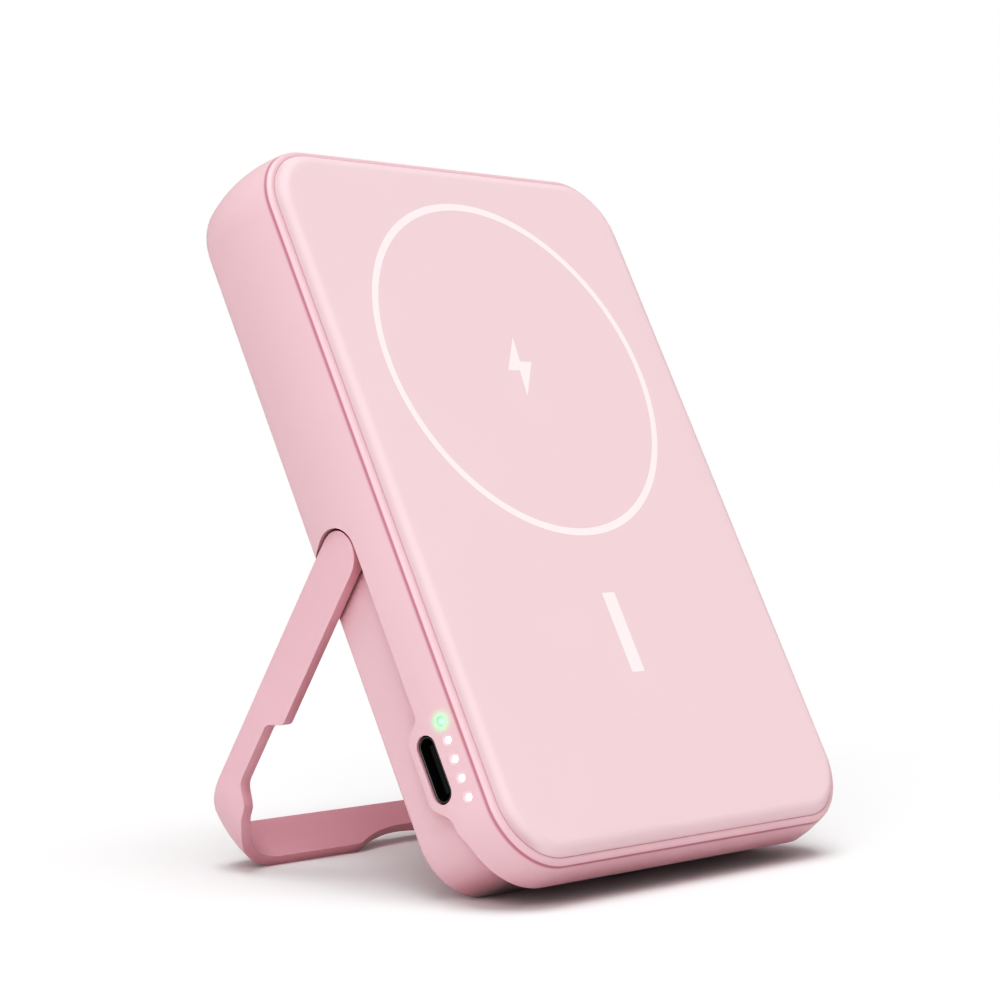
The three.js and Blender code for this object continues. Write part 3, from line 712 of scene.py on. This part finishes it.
def pinkShell():
    recipe = moulded("pinkShell", colours["shell"], 0.42)
    depth = below(recipe)
    # painted shade: a dark band where the rim's outer round meets the side wall, standing in for the shade of that
    # round
    start, full, fade, end = paintedLight["line"]
    line = between(recipe, depth, start, full) * (1 - between(recipe, depth, fade, end))
    plain = recipe.held("Base Color")
    recipe.set("Base Color", recipe.blend(line * paintedLight["rimShadeShare"], plain, colours["line"]))
    # painted glow: the shell itself emits white round the four level lamps and green round the status lamp, and near
    # the status lamp its colour is painted green as a pool of light
    white = paintedGlow(recipe, "level_lens_1", paintedLight["whiteReach"])
    for i in (2, 3, 4):
        white = white + paintedGlow(recipe, f"level_lens_{i}", paintedLight["whiteReach"])
    green = paintedGlow(recipe, "status_lens", paintedLight["greenReach"])
    lit = recipe.blend(white, (0, 0, 0), shaded(colours["glowWhite"], 0.4))
    recipe.set("Emission Color", recipe.blend(green, lit, shaded(colours["glowGreen"], 0.5)))
    recipe.set("Base Color", recipe.blend(green, recipe.held("Base Color"), colours["paintedGreenLight"]))
    recipe.set("Emission Strength", 1.0)
    return recipe


def softPad():
    recipe = moulded("softPad", colours["pad"], 0.6, grain=0.00012)
    plain = recipe.held("Base Color")
    depth = below(recipe)
    # painted shade: the pad's rounded edge is darkened on its left and right sides only
    slopeShade = between(recipe, depth, *paintedLight["slopeShade"])
    creaseShade = between(recipe, depth, *paintedLight["creaseShade"])
    across = recipe.node("ShaderNodeSeparateXYZ", {}, {"Vector": recipe.place}, "X")
    near, far = paintedLight["sides"]
    sides = between(recipe, across * across, near ** 2, far ** 2)
    edge = recipe.blend(slopeShade * sides * paintedLight["slopeShadeShare"], plain, colours["slopeShade"])
    # painted shade: a thin dark line in the crease where the pad's edge meets the rim, 1.02 to 1.17 mm below the face
    recipe.set("Base Color", recipe.blend(creaseShade * paintedLight["creaseShadeShare"], edge, colours["line"]))
    return recipe


finishes = {
    "shell": pinkShell(),
    "pad": softPad(),
    "print": moulded("paleMark", colours["print"], 0.5, tint=0.01),
    "stand": moulded("pinkPaint", colours["stand"], 0.38, depth=0.000008),
    "panel": moulded("greyPanel", (0.32, 0.33, 0.34), 0.55),
    "tray": moulded("blackTray", (0.012, 0.012, 0.014), 0.5),
    "foam": moulded("greyFoam", (0.07, 0.075, 0.08), 0.9, grain=0.0006, depth=0.00012),
    "ferrite": moulded("dullFerrite", (0.02, 0.02, 0.022), 0.65),
    "chip": moulded("blackChip", (0.008, 0.008, 0.009), 0.4),
    "led_body": moulded("whiteLed", (0.85, 0.85, 0.78), 0.35),
    "wire_red": moulded("redSleeve", (0.40, 0.012, 0.009), 0.4),
    "wire_black": moulded("blackSleeve", (0.007, 0.007, 0.008), 0.4),
    "steel": metal("plainSteel", (0.56, 0.57, 0.58), 0.32, (1, 1, 12)),
    "magnet": metal("nickelPlate", (0.66, 0.66, 0.65), 0.22),
    "copper": metal("copperWire", (0.72, 0.30, 0.13), 0.3, (1, 8, 8)),
    "cell_foil": metal("cellFoil", (0.62, 0.63, 0.64), 0.38, depth=0.00003),
    "socket_metal": metal("socketSteel", (0.16, 0.15, 0.15), 0.4, (12, 1, 1)),
    "board": moulded("greenBoard", (0.012, 0.09, 0.04), 0.35),
}
for slot, glow in (("lens_white", "glowWhite"), ("lens_green", "glowGreen")):
    finishes[slot] = moulded(slot.replace("lens_", "lit") + "Lens", shaded(colours[glow], 0.6), 0.3)
    finishes[slot].set("Emission Color", finishes[slot].blend(
        finishes[slot].noise(0.0004), shaded(colours[glow], 0.92), colours[glow]))
    finishes[slot].set("Emission Strength", 1.2)

slotOf = {part["node"]: part["material_slot"] for part in frame["record"]["subparts"]}
for name, node in frame["nodes"].items():
    node.data.materials.clear()
    node.data.materials.append(finishes[slotOf[name]].material)
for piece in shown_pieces():
    if "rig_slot" in piece:
        piece.data.materials.clear()
        piece.data.materials.append(finishes[piece["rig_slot"]].material)
print("finishes on")

# ---- floor and light ----
room = {
    "contrast": ((0.12, 0.035), (0.28, 0.135), (0.36, 0.23), (0.45, 0.355), (0.55, 0.49), (0.64, 0.61), (0.85, 0.85)),
    "fill": 0.58, "floor": (0.77, 0.77, 0.77),
    "above": {"from": (-0.1, -0.1, 1.0), "spread": 40, "power": 1.85},
    "key": {"from": (-0.9, -0.5, 0.5), "spread": 50, "power": 1.42},
}
bpy.ops.object.select_all(action="DESELECT")
bpy.ops.mesh.primitive_plane_add(size=60, location=(0, 0, 0))
floor = named("floor")
openMesh(floor)
bpy.ops.mesh.subdivide(number_cuts=3)
closeMesh()
floorFinish = Recipe("paleFloor", Roughness=0.9)
floorFinish.set("Base Color", floorFinish.blend(floorFinish.noise(0.02), shaded(room["floor"], 0.99), room["floor"]))
floor.data.materials.append(floorFinish.material)

world = bpy.data.worlds.new("studio")
world.use_nodes = True
sky = world.node_tree.nodes["Background"]
sky.inputs["Color"].default_value = (1, 1, 1, 1)
seen = world.node_tree.nodes.new("ShaderNodeLightPath").outputs["Is Camera Ray"]
paleWall = world.node_tree.nodes.new("ShaderNodeMapRange")  # a white backdrop that lights the room only softly
world.node_tree.links.new(seen, paleWall.inputs["Value"])
paleWall.inputs["To Min"].default_value = room["fill"]
paleWall.inputs["To Max"].default_value = 1.0
world.node_tree.links.new(paleWall.outputs["Result"], sky.inputs["Strength"])
scene.world = world
for name in ("above", "key"):
    lamp = room[name]
    bpy.ops.object.light_add(type="SUN", location=lamp["from"])
    light = bpy.context.object
    light.name = name
    light.data.angle, light.data.energy = math.radians(lamp["spread"]), lamp["power"]
    light.rotation_euler = (-Vector(lamp["from"])).to_track_quat("-Z", "Y").to_euler()
scene.view_settings.view_transform = "Standard"
scene.view_settings.use_curve_mapping = True
contrast = scene.view_settings.curve_mapping
for before, after in room["contrast"]:
    contrast.curves[3].points.new(before, after)
contrast.update()
print("lit")
